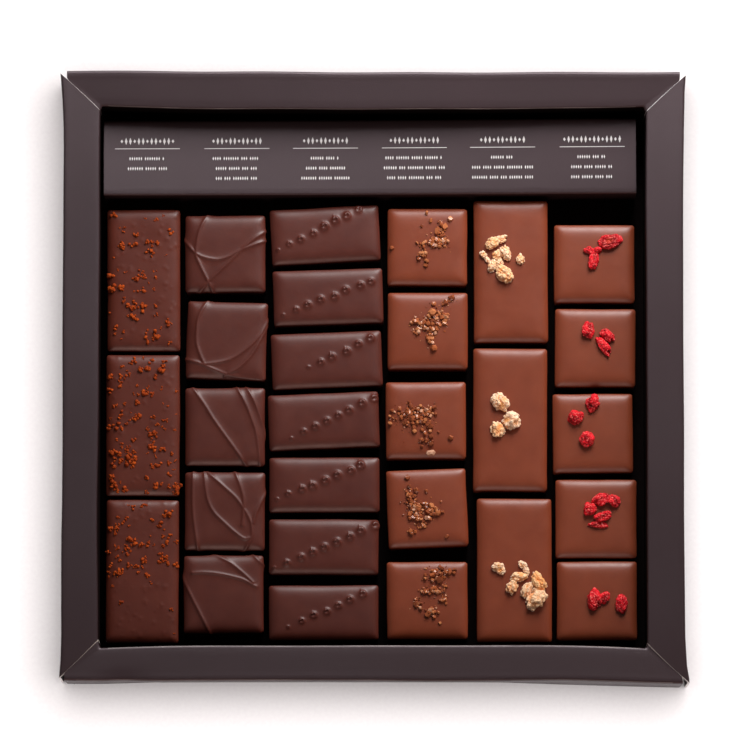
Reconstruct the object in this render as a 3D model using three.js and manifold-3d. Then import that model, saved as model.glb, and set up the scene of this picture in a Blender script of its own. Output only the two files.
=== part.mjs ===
// A box of dipped chocolates: a folded card tray with broad mitred walls, a card ledge along
// its back, and twenty-eight chocolates in six columns.
// Millimetres. +Z is up, +X to the right, +Y to the back. The origin is the middle of the
// underside of the tray.

import * as THREE from 'three';
import { mergeVertices } from 'three/addons/utils/BufferGeometryUtils.js';
import Module from 'manifold-3d';

// Tray
const TRAY = { width: 196, depth: 192.5, height: 25, floor: 1.2 };
const WALL = { side: 11.7, back: 10.7, front: 10.1 };
const CORNER_CUT = { across: 1.9, along: 1.1 };
const WALL_BOW = 0.5;
const MITRE_SLIT = 0.4;

// Ledge of folded card at the back of the tray
const LEDGE = { width: 168.8, depth: 24.1, top: 17, fold: 0.8, x: -1.1, y: 70.3, turn: 0.27 };

// Every piece stands this far clear of what it rests on
const REST_GAP = 0.3;

// Dipped coating, the same on all chocolates
const COAT = { height: 12, corner: 2.6, foot: 0.35, draft: 0.6, shoulder: 1.9, crown: 0.3 };
const CORNER_STEPS = 12;
const UNEVEN = 0.2;

// Outline of each kind, and its place in the tray: the column's middle, each chocolate's
// centre from back to front, and its shift to the right and its turn in degrees
const COLUMNS = [
  { name: 'flake_bar', coat: 'dark_milk', width: 23, depth: 45, x: -73,
    centres: [31.4, -14.8, -61.1], shifts: [0.1, 0, 0], turns: [0.2, 0, -0.2] },
  { name: 'ribbed_square', coat: 'dark', width: 25.2, depth: 24.5, x: -47,
    centres: [39.9, 12.2, -15.3, -42.1, -68.4], shifts: [0, 0.5, 0, 0, -0.3],
    turns: [0.3, -1.9, 0, -0.3, 0.2] },
  { name: 'beaded_bar', coat: 'dark', width: 34.7, depth: 17.4, x: -15.5,
    centres: [45.9, 26.1, 6, -13.4, -33.7, -53.4, -74.2], shifts: [0.2, 1.1, 0.7, -0.2, 0, -0.2, -0.2],
    turns: [3.1, 1.8, 2.4, 2.3, 0.2, -0.2, 0.3] },
  { name: 'crystal_square', coat: 'milk', width: 25.3, depth: 24.5, x: 17,
    centres: [42.1, 15.3, -13.2, -41.1, -70.4], shifts: [0.1, 0.2, -0.4, 0, 0],
    turns: [-0.2, 0, 0.2, 2.2, 0.2] },
  { name: 'almond_bar', coat: 'milk', width: 23.4, depth: 45.2, x: 43.8,
    centres: [34.2, -13, -60.8], shifts: [-0.2, -0.5, 0.7], turns: [0.1, -0.2, 0] },
  { name: 'raspberry_square', coat: 'milk', width: 25.4, depth: 24.8, x: 70.2,
    centres: [36.7, 9.9, -17.3, -44.5, -70.5], shifts: [-0.1, 0.1, -0.7, 0.2, 0.4],
    turns: [0, -0.3, 0.4, 0, 0.2] },
];

// Ribs drawn over each square with a thin cord: the middle line of each, by a few points
const RIB = { radius: 0.6, sides: 6, steps: 6 };
const RIBS = [
  [[[-12.4, 3.7], [-6.5, -1.5], [1.1, -1], [12.3, 4]],
    [[12.3, 6.4], [0.5, -3.4], [-8.3, -11.8]],
    [[-5.7, 11.8], [-9.3, 0.6], [-4.2, -11.8]]],
  [[[-6.8, 11.8], [-9.6, 3], [-6.8, -7.4], [6.4, -3.5], [12.2, 5.3]],
    [[-12.3, -6.6], [-8.5, -7.5], [-3.1, -8.3]],
    [[-4.6, -10.6], [0.8, -11], [6.7, -6.4]]],
  [[[-9.9, 11.8], [-3.9, 2.8], [6.4, -11.4]],
    [[4, 11.9], [8.6, 2.2], [11, -11.4]],
    [[7.1, 11.9], [10.3, 5.2], [11.7, -0.4]]],
  [[[-10.1, 11.8], [-10.1, 1.9], [-8.5, -11.6]],
    [[-6.5, 11.8], [-3.7, 0], [3.5, -6.9], [8.1, -8.5]],
    [[-5.5, 11.8], [4.1, 3.5], [8.7, -6.3], [6.7, -11.6]],
    [[3.5, 11.8], [6, 2.6], [5.6, -4.4]]],
  [[[-2.5, 11.8], [4.9, 7.7], [9.3, 3.6]],
    [[-9.8, 6.7], [-1.7, 6.4], [10.3, 2.3]],
    [[-11.8, 2.9], [-6.9, -7.2], [-4.5, -11.8]]],
];

// Beads piped in a slanting row: how many, the first one's place and the step to the next
const BEAD = { radius: 1.25, height: 1, sides: 5, lean: 0.5 };
const BEAD_ROWS = [
  { count: 7, x: -12.3, y: -2.7, step: [3.92, 1.68] },
  { count: 8, x: -14.5, y: -5.3, step: [4.06, 1.4] },
  { count: 6, x: -5.8, y: -2.5, step: [4, 1.7] },
  { count: 7, x: -6.8, y: -3.4, step: [3.8, 1.64] },
  { count: 7, x: -12.3, y: -3.3, step: [4.05, 1.58] },
  { count: 8, x: -11.8, y: -5.5, step: [3.96, 1.7] },
  { count: 7, x: -11.1, y: -4.5, step: [3.93, 1.65] },
];

// Caramelised flakes: how many on each bar, and how far towards its back they gather
const FLAKE = { smallest: 0.35, largest: 0.95, thickness: 0.45, margin: 1.6 };
const FLAKE_BARS = [
  { count: 18, gather: 0 },
  { count: 30, gather: 0 },
  { count: 20, gather: 9 },
];

// Sugar crystals: the middle and half-width of each square's patch
const CRYSTAL = { smallest: 0.45, largest: 1.05, perSquare: 11 };
const CRYSTAL_PATCHES = [
  { x: 2.4, y: 2.4, half: [4.6, 7.4], slant: 0.45 },
  { x: 2, y: 3, half: [4, 8], slant: 0.35 },
  { x: -2.6, y: 0.4, half: [6.6, 6.2], slant: -0.2 },
  { x: -1.6, y: -0.8, half: [4.6, 7.4], slant: -0.3 },
  { x: 1.2, y: 1, half: [4.8, 8.6], slant: 0.3 },
];

// Chopped almond: middle, length, width and turn in degrees of each bit
const ALMOND_BITS = [
  [[-4.6, 9.2, 6.2, 3.8, 35], [-2.4, 5.9, 5.2, 4, 10], [-8, 4.7, 3.2, 2.8, 60],
    [-5.1, 1.7, 4.4, 3.9, 120], [-1.7, -0.9, 5.4, 5, 40], [3.3, 4.1, 3.1, 2.7, 90]],
  [[-3.1, 5.3, 5.4, 5.1, 20], [0.3, -0.5, 5.6, 5.3, 65], [-4.1, -3.4, 4.6, 3.9, 100]],
  [[-4.9, 0.7, 4.8, 4.5, 0], [2.7, 0.9, 3.9, 3.3, 90], [0.6, -3.8, 6, 5.6, 30],
    [3.4, -7, 5.2, 4.5, 80], [7.6, -3.5, 5.6, 4.6, 95], [7, -9.6, 6.2, 5.9, 45]],
];

// Freeze-dried raspberry: middle, length, width and turn in degrees of each crumbled bit
const RASPBERRY_BITS = [
  [[4.8, 7, 6.9, 4.6, 25], [-0.5, 1.4, 6.4, 4.5, 70]],
  [[-2.4, 5.4, 5.6, 4, 95], [4, 3.7, 4.6, 4.2, 60], [2.9, 0.2, 5.6, 3.2, 130]],
  [[0, 9.4, 5, 4.2, 80], [-5.3, 4.8, 4.8, 4.2, 15], [-1.9, -1.9, 4.6, 4.2, 100]],
  [[3.3, 6, 9, 3.6, 5], [-1.9, 3, 4.1, 3.7, 40], [2, 0.6, 5.4, 2.9, 160], [0.5, -2, 5.8, 2.4, 0]],
  [[0.4, 0.3, 6.3, 5, 110], [7.7, -1, 6, 3.4, 75]],
];
const DRUPELET = { radius: 1.5, spacing: 2.1 };

// Joining and cutting of closed solids
const wasm = await Module();
wasm.setup();

// The bare shape, with the vertices that its faces share merged into one
function mergedShape(geometry) {
  const bare = geometry.index ? geometry.toNonIndexed() : geometry.clone();
  bare.deleteAttribute('normal');
  bare.deleteAttribute('uv');
  return mergeVertices(bare, 1e-4);
}

function toSolid(geometry) {
  const merged = mergedShape(geometry);
  return new wasm.Manifold(new wasm.Mesh({
    numProp: 3,
    vertProperties: new Float32Array(merged.attributes.position.array),
    triVerts: new Uint32Array(merged.index.array),
  }));
}

function toGeometry(solid) {
  const mesh = solid.getMesh();
  const geometry = new THREE.BufferGeometry();
  geometry.setAttribute('position', new THREE.BufferAttribute(mesh.vertProperties, 3));
  geometry.setIndex(new THREE.BufferAttribute(mesh.triVerts, 1));
  geometry.computeVertexNormals();
  return geometry;
}

// The outer body alone, with any sealed pocket filled and any loose scrap left out
function outerBody(solid) {
  return solid.decompose().reduce((largest, body) => (body.volume() > largest.volume() ? body : largest));
}

function join(geometries) {
  const [first, ...others] = geometries.map(toSolid);
  return toGeometry(outerBody(others.reduce((whole, solid) => whole.add(solid), first)));
}

// A repeatable stream of numbers from 0 to 1
function seededRandom(seed) {
  let state = seed * 2654435761 >>> 0;
  return () => {
    state = (state + 0x6d2b79f5) >>> 0;
    let mixed = Math.imul(state ^ (state >>> 15), state | 1);
    mixed ^= mixed + Math.imul(mixed ^ (mixed >>> 7), mixed | 61);
    return ((mixed ^ (mixed >>> 14)) >>> 0) / 4294967296;
  };
}

const between = (random, low, high) => low + (high - low) * random();
const radians = THREE.MathUtils.degToRad;

// Tray: a floor under a ring of hollow-looking walls, which thin slits part along the mitres
function trayOutline() {
  const x = TRAY.width / 2;
  const y = TRAY.depth / 2;
  const outline = new THREE.Shape();
  outline.moveTo(-x + CORNER_CUT.across, -y);
  outline.quadraticCurveTo(0, -y + WALL_BOW, x - CORNER_CUT.across, -y);
  outline.lineTo(x, -y + CORNER_CUT.along);
  outline.quadraticCurveTo(x - 2 * WALL_BOW, 0, x, y - CORNER_CUT.along);
  outline.lineTo(x - CORNER_CUT.across, y);
  outline.quadraticCurveTo(0, y - WALL_BOW, -x + CORNER_CUT.across, y);
  outline.lineTo(-x, y - CORNER_CUT.along);
  outline.quadraticCurveTo(-x + 2 * WALL_BOW, 0, -x, -y + CORNER_CUT.along);
  return outline;
}

function innerRectangle() {
  const x = TRAY.width / 2 - WALL.side;
  const back = TRAY.depth / 2 - WALL.back;
  const front = -TRAY.depth / 2 + WALL.front;
  return [[-x, front], [x, front], [x, back], [-x, back]];
}

function trayGeometry() {
  const ring = trayOutline();
  ring.holes.push(new THREE.Path(innerRectangle().map(([x, y]) => new THREE.Vector2(x, y))));
  const walls = new THREE.ExtrudeGeometry(ring, { depth: TRAY.height, bevelEnabled: false, curveSegments: 6 });

  const slits = [0, 1, 2, 3].map((corner) => toSolid(mitreSlit(corner)));
  const standing = toGeometry(slits.reduce((rest, slit) => rest.subtract(slit), toSolid(walls)));

  const underWalls = 2 * WALL_BOW + 0.4;
  const floor = new THREE.BoxGeometry(TRAY.width - 2 * underWalls, TRAY.depth - 2 * underWalls, TRAY.floor);
  floor.translate(0, 0, TRAY.floor / 2);
  return join([standing, floor]);
}

// The slit runs from an inner corner out past the outer corner, from the floor upwards
function mitreSlit(corner) {
  const [innerX, innerY] = innerRectangle()[corner];
  const outerX = Math.sign(innerX) * TRAY.width / 2;
  const outerY = Math.sign(innerY) * TRAY.depth / 2;
  const length = 1.3 * Math.hypot(outerX - innerX, outerY - innerY);
  const angle = Math.atan2(outerY - innerY, outerX - innerX);
  const slit = new THREE.BoxGeometry(length, MITRE_SLIT, TRAY.height);
  slit.translate(length / 2 - 0.1, 0, TRAY.height / 2 + TRAY.floor / 2);
  slit.rotateZ(angle);
  slit.translate(innerX, innerY, 0);
  return slit;
}

// Ledge: one strip of card folded down at its front and its back, seen as a closed block
function ledgeGeometry() {
  const bottom = TRAY.floor + REST_GAP;
  const halfDepth = LEDGE.depth / 2;
  const section = new THREE.Shape();
  section.moveTo(-halfDepth, bottom);
  section.lineTo(halfDepth, bottom);
  section.lineTo(halfDepth, LEDGE.top - LEDGE.fold);
  section.absarc(halfDepth - LEDGE.fold, LEDGE.top - LEDGE.fold, LEDGE.fold, 0, Math.PI / 2);
  section.absarc(LEDGE.fold - halfDepth, LEDGE.top - LEDGE.fold, LEDGE.fold, Math.PI / 2, Math.PI);
  const block = new THREE.ExtrudeGeometry(section, { depth: LEDGE.width, bevelEnabled: false, curveSegments: 4 });
  block.translate(0, 0, -LEDGE.width / 2);
  block.rotateX(Math.PI / 2);
  block.rotateZ(Math.PI / 2);
  return block;
}

// Coated block: a round turned form, pulled apart into a rectangle with rounded corners
function coatedBlock({ width, depth, height, taper }) {
  const radius = COAT.corner;
  const profile = [
    [0, 0],
    [radius, 0],
    [radius - COAT.foot, 1.2],
    [radius - COAT.draft, height - COAT.shoulder],
    [radius - COAT.draft - 0.3 * COAT.shoulder, height - 0.3 * COAT.shoulder],
    [0.3, height],
    [0, height + COAT.crown],
  ].map(([across, up]) => new THREE.Vector2(across, up));
  const halfStep = Math.PI / CORNER_STEPS;
  const block = new THREE.LatheGeometry(profile, CORNER_STEPS, halfStep);
  block.rotateX(Math.PI / 2);
  const place = block.attributes.position;
  for (let i = 0; i < place.count; i += 1) {
    const onAxis = Math.hypot(place.getX(i), place.getY(i)) < 1e-3;
    if (onAxis) {
      place.setXY(i, 0, 0);
      continue;
    }
    const y = place.getY(i) + Math.sign(place.getY(i)) * (depth / 2 - radius);
    const x = place.getX(i) + Math.sign(place.getX(i)) * (width / 2 - radius);
    place.setXY(i, x * (1 + taper * y), y);
  }
  return block;
}

// Height of the coated top at a place: crowned in the middle and rounded off at the edge
function topHeight(size, x, y) {
  const toEdge = Math.min(size.width / 2 - Math.abs(x), size.depth / 2 - Math.abs(y)) - COAT.draft;
  const fall = COAT.shoulder - THREE.MathUtils.clamp(toEdge, 0, COAT.shoulder);
  const across = Math.max(Math.abs(x) / (size.width / 2), Math.abs(y) / (size.depth / 2));
  const crown = COAT.crown * (1 - Math.min(across, 1));
  return size.height + crown - COAT.shoulder + Math.sqrt(COAT.shoulder ** 2 - fall ** 2);
}

// Rib: a thin half-sunk cord line that follows the top and runs over the rounded edge
function rib(size, points) {
  const line = new THREE.CatmullRomCurve3(points.map(([x, y]) => new THREE.Vector3(x, y, 0)));
  const along = line.getSpacedPoints(RIB.steps).map((point) => {
    point.z = topHeight(size, point.x, point.y) - 0.15;
    return point;
  });
  const section = new THREE.Shape();
  section.absarc(0, 0, RIB.radius, 0, 2 * Math.PI);
  return new THREE.ExtrudeGeometry(section, {
    steps: RIB.steps,
    curveSegments: RIB.sides / 2,
    bevelEnabled: false,
    extrudePath: new THREE.CatmullRomCurve3(along),
  });
}

// Bead: a small pointed dome that leans towards the back
function bead(size, x, y, scale) {
  const profile = [[0, -0.6], [BEAD.radius, -0.1], [0.6 * BEAD.radius, 0.65 * BEAD.height], [0, BEAD.height]]
    .map(([across, up]) => new THREE.Vector2(across * scale, up * scale));
  const drop = new THREE.LatheGeometry(profile, BEAD.sides);
  drop.rotateX(Math.PI / 2);
  const place = drop.attributes.position;
  for (let i = 0; i < place.count; i += 1) {
    place.setY(i, place.getY(i) + BEAD.lean * Math.max(place.getZ(i), 0));
  }
  drop.translate(x, y, topHeight(size, x, y) - 0.1);
  return drop;
}

// Crumb: an uneven lump, whose corners each move a little in or out
function crumb(random, { corners, length, width, thickness, rough }) {
  const lump = corners === 6 ? new THREE.OctahedronGeometry(0.5) : new THREE.IcosahedronGeometry(0.5, 0);
  const merged = mergedShape(lump);
  const place = merged.attributes.position;
  for (let i = 0; i < place.count; i += 1) {
    const reach = 1 + rough * (random() - 0.5);
    place.setXYZ(i, place.getX(i) * length * reach, place.getY(i) * width * reach, place.getZ(i) * thickness * reach);
  }
  return merged;
}

// Toppings of each kind, as separate solids still to be joined to their block
const TOPPINGS = {
  flake_bar(size, index, random) {
    const { count, gather } = FLAKE_BARS[index];
    return Array.from({ length: count }, () => {
      const across = size.width / 2 - FLAKE.margin;
      const along = size.depth / 2 - FLAKE.margin;
      const x = between(random, -across, across);
      const y = Math.min(between(random, -along, along) + gather * random(), along);
      const length = 2 * between(random, FLAKE.smallest, FLAKE.largest);
      const flake = crumb(random, { corners: 6, length, width: 0.7 * length, thickness: 2 * FLAKE.thickness, rough: 0.5 });
      flake.rotateZ(between(random, 0, Math.PI));
      return flake.translate(x, y, topHeight(size, x, y) + 0.1);
    });
  },

  ribbed_square(size, index) {
    return RIBS[index].map((points) => rib(size, points));
  },

  beaded_bar(size, index, random) {
    const row = BEAD_ROWS[index];
    return Array.from({ length: row.count }, (_, n) => {
      const x = row.x + n * row.step[0];
      const y = row.y + n * row.step[1];
      return bead(size, x, y, between(random, 0.88, 1.05));
    });
  },

  crystal_square(size, index, random) {
    const patch = CRYSTAL_PATCHES[index];
    return Array.from({ length: CRYSTAL.perSquare }, () => {
      const turn = between(random, 0, 2 * Math.PI);
      const reach = Math.sqrt(random());
      const y = patch.half[1] * reach * Math.sin(turn);
      const x = patch.half[0] * reach * Math.cos(turn) + patch.slant * y;
      const width = 2 * between(random, CRYSTAL.smallest, CRYSTAL.largest);
      const grain = crumb(random, { corners: 6, length: 1.2 * width, width, thickness: 1.1 * width, rough: 0.4 });
      grain.rotateX(between(random, -0.5, 0.5));
      grain.rotateZ(turn);
      const z = topHeight(size, patch.x + x, patch.y + y) + 0.2 * width;
      return grain.translate(patch.x + x, patch.y + y, z);
    });
  },

  almond_bar(size, index, random) {
    return ALMOND_BITS[index].map(([x, y, length, width, turn]) => {
      const thickness = 0.75 * width;
      const bit = crumb(random, { corners: 12, length, width, thickness, rough: 0.35 });
      bit.rotateX(between(random, -0.3, 0.3));
      bit.rotateZ(radians(turn));
      return bit.translate(x, y, topHeight(size, x, y) + 0.22 * thickness);
    });
  },

  raspberry_square(size, index, random) {
    return RASPBERRY_BITS[index].flatMap(([x, y, length, width, turn]) => {
      const count = Math.max(2, Math.round(length / DRUPELET.spacing));
      return Array.from({ length: count }, (_, n) => {
        const along = (n / (count - 1) - 0.5) * (length - 2 * DRUPELET.radius);
        const aside = (n % 2 - 0.5) * Math.max(width - 2 * DRUPELET.radius, 0);
        const breadth = 2 * DRUPELET.radius * between(random, 0.9, 1.1);
        const drupelet = crumb(random, { corners: 12, length: breadth, width: breadth, thickness: breadth, rough: 0.12 });
        drupelet.translate(along, aside, 0);
        drupelet.rotateZ(radians(turn));
        return drupelet.translate(x, y, topHeight(size, x, y) + 0.4 * DRUPELET.radius);
      });
    });
  },
};

// Finishes
const FINISH = {
  card: { color: 0x4a4042, roughness: 0.75, metalness: 0 },
  ledge: { color: 0x50474a, roughness: 0.7, metalness: 0 },
  dark_milk: { color: 0x5e3a30, roughness: 0.42, metalness: 0 },
  dark: { color: 0x4d2a24, roughness: 0.38, metalness: 0 },
  milk: { color: 0x7c4433, roughness: 0.4, metalness: 0 },
};

function named(name, geometry, finish) {
  const mesh = new THREE.Mesh(geometry, new THREE.MeshStandardMaterial(FINISH[finish]));
  mesh.name = name;
  return mesh;
}

// Chocolates of one column, from the back of the tray to its front
function column({ name, coat, width, depth, x, centres, shifts, turns }, columnIndex) {
  const group = new THREE.Group();
  group.position.set(x, 0, TRAY.floor + REST_GAP);
  centres.forEach((y, index) => {
    const random = seededRandom(100 * (columnIndex + 1) + index);
    const size = {
      width: width + between(random, -UNEVEN, UNEVEN),
      depth: depth + between(random, -UNEVEN, UNEVEN),
      height: COAT.height + between(random, -UNEVEN, UNEVEN),
      taper: between(random, -0.0006, 0.0006),
    };
    const chocolate = named(
      `${name}_${index + 1}`,
      join([coatedBlock(size), ...TOPPINGS[name](size, index, random)]),
      coat,
    );
    chocolate.position.set(shifts[index], y, 0);
    chocolate.rotation.z = radians(turns[index]);
    group.add(chocolate);
  });
  return group;
}

// Assembly
const box = new THREE.Group();
box.name = 'chocolate_box';
box.add(named('tray', trayGeometry(), 'card'));

const ledge = named('ledge_card', ledgeGeometry(), 'ledge');
ledge.position.set(LEDGE.x, LEDGE.y, 0);
ledge.rotation.z = radians(LEDGE.turn);
box.add(ledge);

COLUMNS.forEach((entry, index) => box.add(column(entry, index)));

export default box;
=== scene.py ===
import math

import bpy
import numpy as np
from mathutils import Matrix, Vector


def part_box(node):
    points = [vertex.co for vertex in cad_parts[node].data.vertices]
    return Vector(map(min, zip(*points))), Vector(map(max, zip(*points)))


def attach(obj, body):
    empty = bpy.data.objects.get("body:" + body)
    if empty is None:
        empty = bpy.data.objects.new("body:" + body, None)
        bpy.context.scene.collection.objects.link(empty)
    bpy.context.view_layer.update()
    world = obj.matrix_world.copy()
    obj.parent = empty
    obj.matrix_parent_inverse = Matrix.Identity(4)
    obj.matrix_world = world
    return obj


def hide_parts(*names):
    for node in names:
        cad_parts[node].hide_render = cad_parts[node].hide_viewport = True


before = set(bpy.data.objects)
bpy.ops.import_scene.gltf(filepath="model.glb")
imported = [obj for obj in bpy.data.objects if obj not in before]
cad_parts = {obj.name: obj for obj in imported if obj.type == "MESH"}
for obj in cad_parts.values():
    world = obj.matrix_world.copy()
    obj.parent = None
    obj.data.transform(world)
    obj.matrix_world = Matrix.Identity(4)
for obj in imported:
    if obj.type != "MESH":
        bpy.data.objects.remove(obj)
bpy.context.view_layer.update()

MM = 0.001


# Studio: the box lies on a sheet of white board. A softbox stands low and close behind it. Weak
# warm ones stand in front, where one of them only draws a light line along the edges that face
# it, and to the right, where one gives no gloss. The board has a light of its own, and the camera
# looks down almost straight.
AIM = np.array([0.5, -0.1, 25.0]) * MM
TILT = math.radians(6)
DISTANCE = 2.2
camera = bpy.data.objects.new("camera", bpy.data.cameras.new("camera"))
bpy.context.collection.objects.link(camera)
camera.location = AIM + DISTANCE * np.array([0, -math.sin(TILT), math.cos(TILT)])
camera.rotation_euler = (TILT, 0, 0)
camera.data.sensor_width = 36
camera.data.lens = 335.2
bpy.context.scene.camera = camera
bpy.context.scene.view_settings.view_transform = "Standard"


def softbox(name, place, size, watts, tint=(1, 1, 1)):
    """Square area light at place, turned so that its axis meets the middle of the box."""
    light = bpy.data.lights.new(name, "AREA")
    light.size = size
    light.energy = watts
    light.color = tint
    lamp = bpy.data.objects.new(name, light)
    bpy.context.collection.objects.link(lamp)
    place = np.array(place)
    lamp.location = place
    lamp.rotation_euler = (
        math.atan2(math.hypot(place[0], place[1]), place[2]), 0, math.atan2(place[0], -place[1]))
    return lamp


key = softbox("key", (0.13, 0.39, 0.29), 0.26, 3.9)
front = softbox("front", (-0.15, -1.0, 0.6), 0.5, 1.9, (1, 0.82, 0.76))
front_gloss = softbox("front_gloss", (-0.1, -1.0, 0.55), 0.5, 3.2, (1, 0.5, 0.4))
front_gloss.visible_diffuse = False
right = softbox("right", (0.85, 0.3, 0.42), 0.5, 2.6, (1, 0.75, 0.52))
right.visible_glossy = False
over_board = softbox("over_board", (0.13, 0.1, 1.1), 1.3, 23.5, (1, 0.94, 0.935))

world = bpy.data.worlds.new("studio")
world.use_nodes = True
world.node_tree.nodes["Background"].inputs["Color"].default_value = (1, 0.9, 0.89, 1)
world.node_tree.nodes["Background"].inputs["Strength"].default_value = 0.12
bpy.context.scene.world = world


def node_of(tree, kind, settings=None, **values):
    """Shader node with its settings and the values of its sockets, by name; a value may be a
    socket of another node."""
    node = tree.nodes.new(kind)
    for key, value in (settings or {}).items():
        setattr(node, key, value)
    for key, value in values.items():
        socket = node.inputs[key.replace("_", " ")]
        if isinstance(value, bpy.types.NodeSocket):
            tree.links.new(value, socket)
        else:
            socket.default_value = value
    return node


def new_finish(name, roughness, specular=0.5):
    """Material with its tree, its Principled shader and its Object coordinates."""
    material = bpy.data.materials.new(name)
    material.use_nodes = True
    tree = material.node_tree
    shader = tree.nodes["Principled BSDF"]
    shader.inputs["Roughness"].default_value = roughness
    shader.inputs["Specular IOR Level"].default_value = specular
    place = node_of(tree, "ShaderNodeTexCoord").outputs["Object"]
    return material, tree, shader, place


def ranged(tree, value, start, end, low=0.0, high=1.0):
    """Number that runs from low to high while the value runs from start to end."""
    span = node_of(tree, "ShaderNodeMapRange", Value=value, From_Min=start, From_Max=end,
                   To_Min=low, To_Max=high)
    return span.outputs["Result"]


def mottle(tree, place, per_metre, detail, low, high):
    """Fractal noise of so many cells a metre, as a number that runs from low to high."""
    noise = node_of(tree, "ShaderNodeTexNoise", Vector=place, Scale=per_metre, Detail=detail,
                    Roughness=0.55)
    return ranged(tree, noise.outputs["Fac"], 0.3, 0.7, low, high)


def blend_colours(tree, factor, dark, light):
    """Mix of two colours by a factor socket."""
    mix = node_of(tree, "ShaderNodeMix", {"data_type": "RGBA"})
    tree.links.new(factor, mix.inputs[0])
    for socket, colour in ((mix.inputs[6], dark), (mix.inputs[7], light)):
        if isinstance(colour, bpy.types.NodeSocket):
            tree.links.new(colour, socket)
        else:
            socket.default_value = (*colour, 1)
    return mix.outputs[2]


def paint(tree, shader, factor, dark, light):
    """Base colour of a finish: a mix of two colours by a factor socket."""
    tree.links.new(blend_colours(tree, factor, dark, light), shader.inputs["Base Color"])


def roughen(tree, shader, height, depth):
    """Bump of a height socket, so many metres deep, added under the shader's normal."""
    bump = node_of(tree, "ShaderNodeBump", Height=height, Distance=depth, Strength=1.0)
    normal = shader.inputs["Normal"]
    if normal.is_linked:
        tree.links.new(normal.links[0].from_socket, bump.inputs["Normal"])
    tree.links.new(bump.outputs["Normal"], normal)


def speckled(name, roughness, specular, per_metre, detail, dark, light):
    """Finish whose colour runs between two with noise of so many cells a metre. Returns what
    new_finish does, and the noise."""
    material, tree, shader, place = new_finish(name, roughness, specular)
    noise = mottle(tree, place, per_metre, detail, 0.0, 1.0)
    paint(tree, shader, noise, dark, light)
    return material, tree, shader, place, noise


def new_piece(name, points, face_groups, finishes, finish_of=None, smooth=True):
    """Mesh object from whole arrays: points in metres, and groups of faces with the same number
    of corners. Its faces are turned the other way where the volume that they enclose, a sixth of
    the sum of the triple products of their triangles, comes out negative."""
    volume = 0.0
    for faces in face_groups:
        for corner in range(1, faces.shape[1] - 1):
            first, second, third = (points[faces[:, index]] for index in (0, corner, corner + 1))
            volume += np.einsum("ij,ij->", first, np.cross(second, third))
    if volume < 0:
        face_groups = [faces[:, ::-1] for faces in face_groups]
    mesh = bpy.data.meshes.new(name)
    mesh.vertices.add(len(points))
    mesh.vertices.foreach_set("co", np.ascontiguousarray(points, np.float32).ravel())
    corners = np.concatenate([faces.ravel() for faces in face_groups]).astype(np.int32)
    counts = np.concatenate([np.full(len(faces), faces.shape[1]) for faces in face_groups])
    mesh.loops.add(len(corners))
    mesh.loops.foreach_set("vertex_index", corners)
    mesh.polygons.add(len(counts))
    mesh.polygons.foreach_set("loop_start", (np.cumsum(counts) - counts).astype(np.int32))
    mesh.update(calc_edges=True)
    mesh.polygons.foreach_set("use_smooth", np.full(len(counts), smooth))
    for finish in finishes:
        mesh.materials.append(finish)
    if finish_of is not None:
        mesh.polygons.foreach_set("material_index", np.asarray(finish_of, np.int32))
    piece = bpy.data.objects.new(name, mesh)
    bpy.context.collection.objects.link(piece)
    return piece


def group_of(name, *pieces):
    """Collection of the pieces that a lamp lights, or leaves out."""
    group = bpy.data.collections.new(name)
    for piece in pieces:
        group.objects.link(piece)
    return group


board, *_ = speckled("white_board", 0.6, 0.5, 900, 3, (0.86, 0.855, 0.86), (0.9, 0.9, 0.9))
BOARD_ENDS = -3.0, 3.0
BOARD_THICK = 0.004
sheet_points = np.array([[x, y, z] for z in (-BOARD_THICK, 0.0) for y in BOARD_ENDS
                         for x in BOARD_ENDS])
sheet_faces = np.array([[0, 2, 3, 1], [4, 5, 7, 6], [0, 1, 5, 4], [2, 6, 7, 3], [0, 4, 6, 2],
                        [1, 3, 7, 5]])
floor = new_piece("floor", sheet_points, [sheet_faces], [board], smooth=False)
over_board.light_linking.receiver_collection = group_of("board_only", floor)
all_but_board = group_of("all_but_board", floor)
all_but_board.collection_objects[0].light_linking.link_state = "EXCLUDE"
for lamp in (key, front, front_gloss, right):
    lamp.light_linking.receiver_collection = all_but_board


# Folded tray: one blank of dark coated card with a white core. Each wall is hollow: the card goes
# up outside, over a broad strip on top and down inside to the floor. The strips meet in mitres,
# where the white core shows, and the corners are cut off a little.
card_low, card_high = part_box("tray")
HALF_WIDTH = (card_high.x - card_low.x) / 2
HALF_DEPTH = (card_high.y - card_low.y) / 2
TRAY_TOP = card_high.z
FLOOR_TOP = 1.2 * MM
CARD = 0.5 * MM
FOLD = 0.75 * MM
SHARP = math.radians(40)
# Front, right, back, left: width of the strip, how far it falls inwards, how far its outer edge
# and its inner edge bow towards the middle of the tray
WALLS = np.array([(10.1, 0.8, 0.25, 0.9), (11.9, 0.5, 0.5, 0.1), (10.7, 1.2, 0.25, 1.0),
                  (11.6, 0.5, 0.5, -0.2)]) * MM
# How far the outer edges stand out besides: places from left to right or from front to back, in mm
OUTLINE = [([-96, -84, 60, 84, 96], [0.2, 0.5, 0.6, 1.05, 1.2]),
           ([-96, -92, -83, 0, 36, 80, 90, 96], [1.2, 0.6, 0.2, 0.15, 0.27, 0.35, 0.5, 0.95]),
           ([-96, -60, 0, 96], [0.5, 0.55, 0.35, 0.35]),
           ([-96, -90, -82, -74, -58, -40, -17, 0, 36, 71, 80, 88, 96],
            [0.7, 0.32, 0.25, 0.39, 0.37, 0.15, 0.42, 0.5, 0.6, 0.15, 0.25, 0.65, 1.25])]
# How far the foot of the front wall stands in, by places from left to right
FRONT_FOOT = [-92, -70, 40, 60, 92], [0.5, 1.1, 1.1, 0.5, 0.3]
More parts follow.
